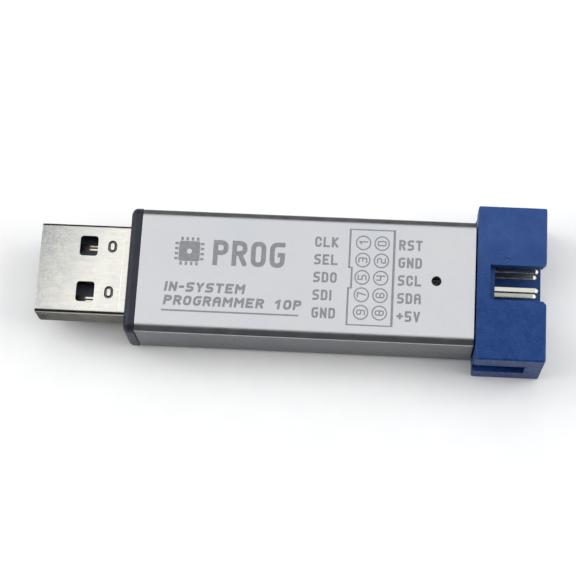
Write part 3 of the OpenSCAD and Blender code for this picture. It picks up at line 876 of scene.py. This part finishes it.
def eased_corners(points, sharp, radius, steps=5):
    """The path with its corners rounded; a path that ends where it began is rounded there as well."""
    closed = points[0] == points[-1]
    corners = points[:-1] if closed else points
    count = len(corners)
    path = []
    for i, corner in enumerate(corners):
        if sharp[i] or not closed and i in (0, count - 1):
            path.append(corner)
            continue
        ends = []
        for other, last in ((corners[i - 1], i == 1), (corners[(i + 1) % count], i == count - 2)):
            reach = (other - corner).length * (0.9 if last and not closed else 0.45)
            ends.append(corner + (other - corner).normalized() * min(radius, reach))
        for k in range(steps + 1):
            t = k / steps
            path.append(ends[0] * (1 - t) ** 2 + corner * 2 * t * (1 - t) + ends[1] * t ** 2)
    return path, closed


def stroke_loops(points, sharp, half, radius):
    """The outline of a stroke drawn along the points: one loop, or an outer and an inner one for a ring."""
    path, closed = eased_corners(points, sharp, radius)
    count = len(path)
    sides = []
    for i, point in enumerate(path):
        before = path[i - 1] if closed or i else None
        after = path[(i + 1) % count] if closed or i < count - 1 else None
        into = (point - before).normalized() if before else (after - point).normalized()
        out = (after - point).normalized() if after else into
        normal = (Vector((-into.y, into.x)) + Vector((-out.y, out.x))).normalized()
        miter = normal * (half / max(0.3, normal.dot(Vector((-into.y, into.x)))))
        cap = Vector((0, 0))
        if not before:
            cap = -out * half * CAP
        elif not after:
            cap = into * half * CAP
        sides.append((point + miter + cap, point - miter + cap))
    left, right = [list(side) for side in zip(*sides)]
    return [left, right] if closed else [left + right[::-1]]


def lettering(words, place, cap, letter, stroke, gap, lean=0.0, turn=0):
    """Stroke letters, and the boxes that trim them.

    The place is the lower left of the words, or their middle if they are turned.
    """
    half = stroke / 2
    widths = [stroke + (letter - stroke) * WIDTHS.get(char, 1) for char in words]
    total = sum(widths) + gap * (len(words) - 1)
    facing = Matrix.Rotation(math.radians(turn), 2)
    pivot = Vector((total / 2, cap / 2)) if turn else Vector((0, 0))

    def put(point):
        return Vector(place) + facing @ (Vector((point.x + lean * point.y, point.y)) - pivot)
    strokes, trims = [], []
    left = 0.0
    for char, width in zip(words, widths):
        step = Vector((width - stroke, cap - stroke)) / GRID
        for line in filter(None, STROKES[char].split("/")):
            points = [Vector((left + half + step.x * int(spot[0]), half + step.y * int(spot[1])))
                      for spot in line.split()]
            sharp = [spot.endswith("s") for spot in line.split()]
            loops = stroke_loops(points, sharp, half, stroke * 1.2)
            strokes.append(flat_piece("stroke", [[put(p) for p in loop] for loop in loops]))
        box = [Vector(p) for p in rectangle(left, left + width, 0, cap)]
        trims.append(flat_piece("trim", [[put(p) for p in box]], spare=0.01))
        left += width + gap
    return strokes, trims


def written(name, lines):
    """One object from several lines of lettering, its strokes joined where they cross and trimmed."""
    strokes = join_pieces(name, [piece for line in lines for piece in line[0]])
    trims = join_pieces("trims", [piece for line in lines for piece in line[1]])
    modifier = strokes.modifiers.new("trim", "BOOLEAN")
    modifier.operation = "INTERSECT"
    modifier.solver = "EXACT"
    modifier.use_self = True
    modifier.object = trims
    apply_modifiers(strokes)
    mesh = trims.data
    bpy.data.objects.remove(trims)
    bpy.data.meshes.remove(mesh)
    return strokes


def join_pieces(name, pieces):
    """One object from several solids."""
    bm = bmesh.new()
    for piece in pieces:
        bm.from_mesh(piece.data)
        mesh = piece.data
        bpy.data.objects.remove(piece)
        bpy.data.meshes.remove(mesh)
    mesh = bpy.data.meshes.new(name)
    bm.to_mesh(mesh)
    bm.free()
    return add_object(name, mesh)


def chip_sign(centre, size):
    """A generic chip: a square body with a pin-one dot left clear, and legs on all four sides."""
    half = size * 0.36
    x, y = centre
    body = rounded_loop(2 * half, 2 * half, 0.25, centre, steps=11)
    dot = round_loop(0.34, (x, y), steps=48)
    pieces = [flat_piece("body", [body, dot])]
    leg, reach = 0.16, size / 2
    for k in (-1.5, -0.5, 0.5, 1.5):
        first, last = k * half * 0.5 - leg, k * half * 0.5 + leg
        for side in (-1, 1):
            near, far = sorted((side * (half + 0.08), side * reach))
            pieces.append(flat_piece("leg", [rectangle(x + near, x + far, y + first, y + last)]))
            pieces.append(flat_piece("leg", [rectangle(x + first, x + last, y + near, y + far)]))
    return pieces


CHART_X = (7.37, 13.3)
CHART_Y = (-6.32, 6.55)
ROW_TOP = 4.69
ROW_PITCH = 2.31
COLUMN_X = (9.2, 11.57)
LABEL_X = (3.0, 13.75)
LABEL_TOP = 4.6
LABEL_PITCH = 2.36
LABEL_CAP = 1.4
SIGN_CENTRE = (-13.05, 2.6)
RULE = (-16.1, 1.35, -5.46, -5.24)
TITLE_PLACE = (-10.0, 0.85)
SUBTITLE_X = -15.95
SUBTITLE_Y = (-2.85, -4.65)


def chart_frame():
    """The header's outline seen from above, with its key on the left side."""
    x0, x1 = CHART_X
    y0, y1 = CHART_Y
    key_top, key_low, key_in = 1.25, -1.3, 0.36
    outer = [(x0, y0), (x1, y0), (x1, y1), (x0, y1),
             (x0, key_top), (x0 + key_in, key_top), (x0 + key_in, key_low), (x0, key_low)]
    thin, left, right = 0.17, 0.24, 0.3
    inner = [(x0 + left, y0 + thin), (x1 - right, y0 + thin),
             (x1 - right, y1 - thin), (x0 + left, y1 - thin),
             (x0 + left, key_top + thin), (x0 + key_in + left, key_top + thin),
             (x0 + key_in + left, key_low - thin), (x0 + left, key_low - thin)]
    return flat_piece("frame", [outer, inner])


def pin_chart():
    pieces = [chart_frame()]
    lines = []
    for x, digits in zip(COLUMN_X, ("13579", "02468")):
        for row, digit in enumerate(digits):
            centre = (x, ROW_TOP - row * ROW_PITCH)
            pieces.append(flat_piece("ring", [round_loop(0.99, centre), round_loop(0.82, centre)]))
            lines.append(lettering(digit, centre, cap=1.16, letter=0.72, stroke=0.17, gap=0, turn=90))
    return join_pieces("pin_chart_marks", pieces), written("pin_number_marks", lines)


def signal_labels():
    lines = []
    for x, labels in zip(LABEL_X, ("CLK SEL SDO SDI GND", "RST GND SCL SDA +5V")):
        for row, label in enumerate(labels.split()):
            y = LABEL_TOP - row * LABEL_PITCH - LABEL_CAP / 2
            lines.append(lettering(label, (x, y), LABEL_CAP, letter=0.85, stroke=0.28, gap=0.22))
    return written("signal_marks", lines)


def title_marks():
    signs = chip_sign(SIGN_CENTRE, size=3.75)
    signs.append(flat_piece("rule", [rectangle(*RULE)]))
    lines = [lettering("PROG", TITLE_PLACE, cap=3.4, letter=1.95, stroke=0.62, gap=0.48)]
    for words, y in zip(("IN-SYSTEM", "PROGRAMMER 10P"), SUBTITLE_Y):
        place = (SUBTITLE_X, y)
        lines.append(lettering(words, place, cap=1.3, letter=1.02, stroke=0.32, gap=0.24, lean=0.12))
    return join_pieces("sign_marks", signs), written("title_marks", lines)


# -------------------------------- floor, light and camera

def make_floor(material):
    half = 1.5
    floor = object_from("floor", lambda bm: bm.faces.new(
        [bm.verts.new((x, y, 0)) for x, y in ((-half, -half), (half, -half), (half, half), (-half, half))]))
    floor.data.materials.append(material)


def aim(item, position, target):
    item.matrix_world = (Matrix.Translation(position)
                         @ (Vector(target) - Vector(position)).to_track_quat("-Z", "Y").to_matrix().to_4x4())


def softbox(direction, distance, size, power):
    light = bpy.data.lights.new("softbox", "AREA")
    light.shape = "RECTANGLE"
    light.size, light.size_y = size
    light.energy = power
    item = bpy.data.objects.new("softbox", light)
    bpy.context.scene.collection.objects.link(item)
    aim(item, Vector(direction).normalized() * distance, (0, 0, 0.004))


# The squared Y of a direction, where the horizon starts to fade and where it is gone.
LONG_SIDE_SHADE = (0.67, 0.94)


def make_world(axis, room, tent, inner, outer, horizon, low, high):
    """A dim room with a pale horizon, and a light tent round the axis: full inside inner, none past outer.

    The horizon is full below the low angle and gone above the high one. It is dark in front of the object's
    long sides: behind the camera, and across from it.
    """
    world = bpy.data.worlds.new("studio")
    world.use_nodes = True
    tree = world.node_tree
    direction = tree.nodes.new("ShaderNodeTexCoord").outputs["Generated"]

    def ramp(value, *ends):
        """Takes a value from one range to another: the ends are low, high, new low and new high."""
        node = tree.nodes.new("ShaderNodeMapRange")
        node.interpolation_type = "SMOOTHSTEP"
        for name, number in zip(("From Min", "From Max", "To Min", "To Max"), ends):
            node.inputs[name].default_value = number
        tree.links.new(value, node.inputs["Value"])
        return node.outputs["Result"]

    def calculate(operation, first, second):
        node = tree.nodes.new("ShaderNodeMath")
        node.operation = operation
        tree.links.new(first, node.inputs[0])
        tree.links.new(second, node.inputs[1])
        return node.outputs["Value"]
    along = tree.nodes.new("ShaderNodeVectorMath")
    along.operation = "DOT_PRODUCT"
    along.inputs[1].default_value = Vector(axis).normalized()
    tree.links.new(direction, along.inputs[0])
    tent_light = ramp(along.outputs["Value"], math.cos(math.radians(outer)), math.cos(math.radians(inner)),
                      room, tent)
    parts = tree.nodes.new("ShaderNodeSeparateXYZ")
    tree.links.new(direction, parts.inputs["Vector"])
    low_down = ramp(parts.outputs["Z"], math.sin(math.radians(low)), math.sin(math.radians(high)),
                    horizon, 0)
    squared = calculate("MULTIPLY", parts.outputs["Y"], parts.outputs["Y"])
    glow = calculate("MULTIPLY", low_down, ramp(squared, *LONG_SIDE_SHADE, 1, 0))
    background = tree.nodes["Background"]
    tree.links.new(calculate("MAXIMUM", tent_light, glow), background.inputs["Strength"])
    background.inputs["Color"].default_value = (0.985, 0.99, 1.0, 1)
    bpy.context.scene.world = world


def make_lights():
    make_world(axis=(-0.05, 0.31, 0.95), room=0.06, tent=1.55, inner=24, outer=44,
               horizon=0.9, low=12, high=30)
    for x in (-1, 1):
        softbox((x, 0.1, 0.8), distance=0.7, size=(0.5, 0.5), power=2.6)
    bpy.context.scene.view_settings.view_transform = "Standard"


CAMERA_TARGET = (-0.345, -0.572, 4.4)
CAMERA_DISTANCE = 217.73
CAMERA_AZIMUTH = -9.856
CAMERA_ELEVATION = 73.132
CAMERA_ROLL = -6.953
CAMERA_LENS = 104.98


def make_camera():
    azimuth, elevation, roll = (math.radians(a) for a in (CAMERA_AZIMUTH, CAMERA_ELEVATION, CAMERA_ROLL))
    forward = Vector((math.sin(azimuth) * math.cos(elevation), math.cos(azimuth) * math.cos(elevation),
                      -math.sin(elevation)))
    level = forward.cross(Vector((0, 0, 1))).normalized()
    upright = level.cross(forward)
    right = level * math.cos(roll) + upright * math.sin(roll)
    up = right.cross(forward)
    place = (Vector(CAMERA_TARGET) - forward * CAMERA_DISTANCE) * MM
    data = bpy.data.cameras.new("camera")
    data.lens = CAMERA_LENS
    data.clip_start = 0.005
    camera = bpy.data.objects.new("camera", data)
    camera.matrix_world = Matrix.Translation(place) @ Matrix((right, up, -forward)).transposed().to_4x4()
    bpy.context.scene.collection.objects.link(camera)
    bpy.context.scene.camera = camera


# -------------------------------- CAD nodes that stay

def dress(names, material, ease_mm):
    """Gives CAD nodes their material, and eases their edges with modifiers."""
    for name in names:
        node = NODES[name]
        node.data.materials.clear()
        node.data.materials.append(material)
        modifier = node.modifiers.new("ease", "BEVEL")
        modifier.width = ease_mm * MM
        modifier.segments = 2
        modifier.limit_method = "ANGLE"
        modifier.angle_limit = math.radians(40)
        node.data.shade_smooth()
        node.data.set_sharp_from_angle(angle=math.radians(32))
        smoother = node.modifiers.new("flat_faces", "WEIGHTED_NORMAL")
        smoother.keep_sharp = True


aluminium = blasted_aluminium()
nickel = plug_nickel()
ink = marking_ink()
plating = pin_plating()
tin = matt_tin()
insulator = matt_compound("insulator_moulding", (0.022, 0.03, 0.046), (0.036, 0.048, 0.07))
chip_black = black_moulding("chip_moulding", 0.022, 0.5)
glaze = black_moulding("resistor_glaze", 0.018, 0.25)
pale_ceramic = matt_compound("pale_ceramic", (0.62, 0.58, 0.48), (0.74, 0.70, 0.60))
brown_ceramic = matt_compound("brown_ceramic", (0.30, 0.20, 0.12), (0.42, 0.30, 0.19))
fuse_coating = matt_compound("fuse_coating", (0.04, 0.16, 0.08), (0.06, 0.22, 0.11))
orange_moulding = matt_compound("tantalum_moulding", (0.55, 0.27, 0.05), (0.66, 0.35, 0.08))

finish_piece(make_sleeve(), aluminium, ["sleeve"])
finish_piece(make_bezel(), bezel_plastic(), ["front_bezel"])
finish_piece(make_shell(), nickel, ["usb_shell"])
finish_piece(make_header(), header_plastic(), ["header_housing"])
for number, place in enumerate(pin_places(), start=1):
    finish_piece(make_pin(number, place), plating, [f"header_pin_{number:02d}"])
for marks in (*title_marks(), *pin_chart(), signal_labels()):
    finish_piece(marks, ink, smooth=False)

CHIPS = ("controller", "memory", "buffer", "regulator", "surge_array")
dress(["usb_insulator"], insulator, 0.05)
dress([f"usb_contact_{i}" for i in range(1, 5)], contact_plating(), 0.04)
dress(["circuit_board"], board_laminate(), 0.03)
dress(["controller_chip", "memory_chip", "buffer_chip"], chip_black, 0.05)
dress(["voltage_regulator", "surge_array"], chip_black, 0.05)
dress([f"{chip}_leads" for chip in CHIPS], tin, 0.02)
dress(["fuse_terminals", "tantalum_terminals", "capacitor_terminals", "resistor_terminals"], tin, 0.03)
dress(["crystal_lid"], tin, 0.04)
dress(["crystal_base", "status_led_base"], pale_ceramic, 0.03)
dress(["chip_capacitors"], brown_ceramic, 0.03)
dress(["chip_resistors"], glaze, 0.03)
dress(["fuse_body"], fuse_coating, 0.04)
dress(["tantalum_capacitor"], orange_moulding, 0.05)
dress(["status_led_lens"], lamp_resin(), 0.04)
dress(["pin_solder", "contact_solder", "shell_solder"], bright_solder(), 0.03)

make_floor(floor_paper())
make_lights()
make_camera()
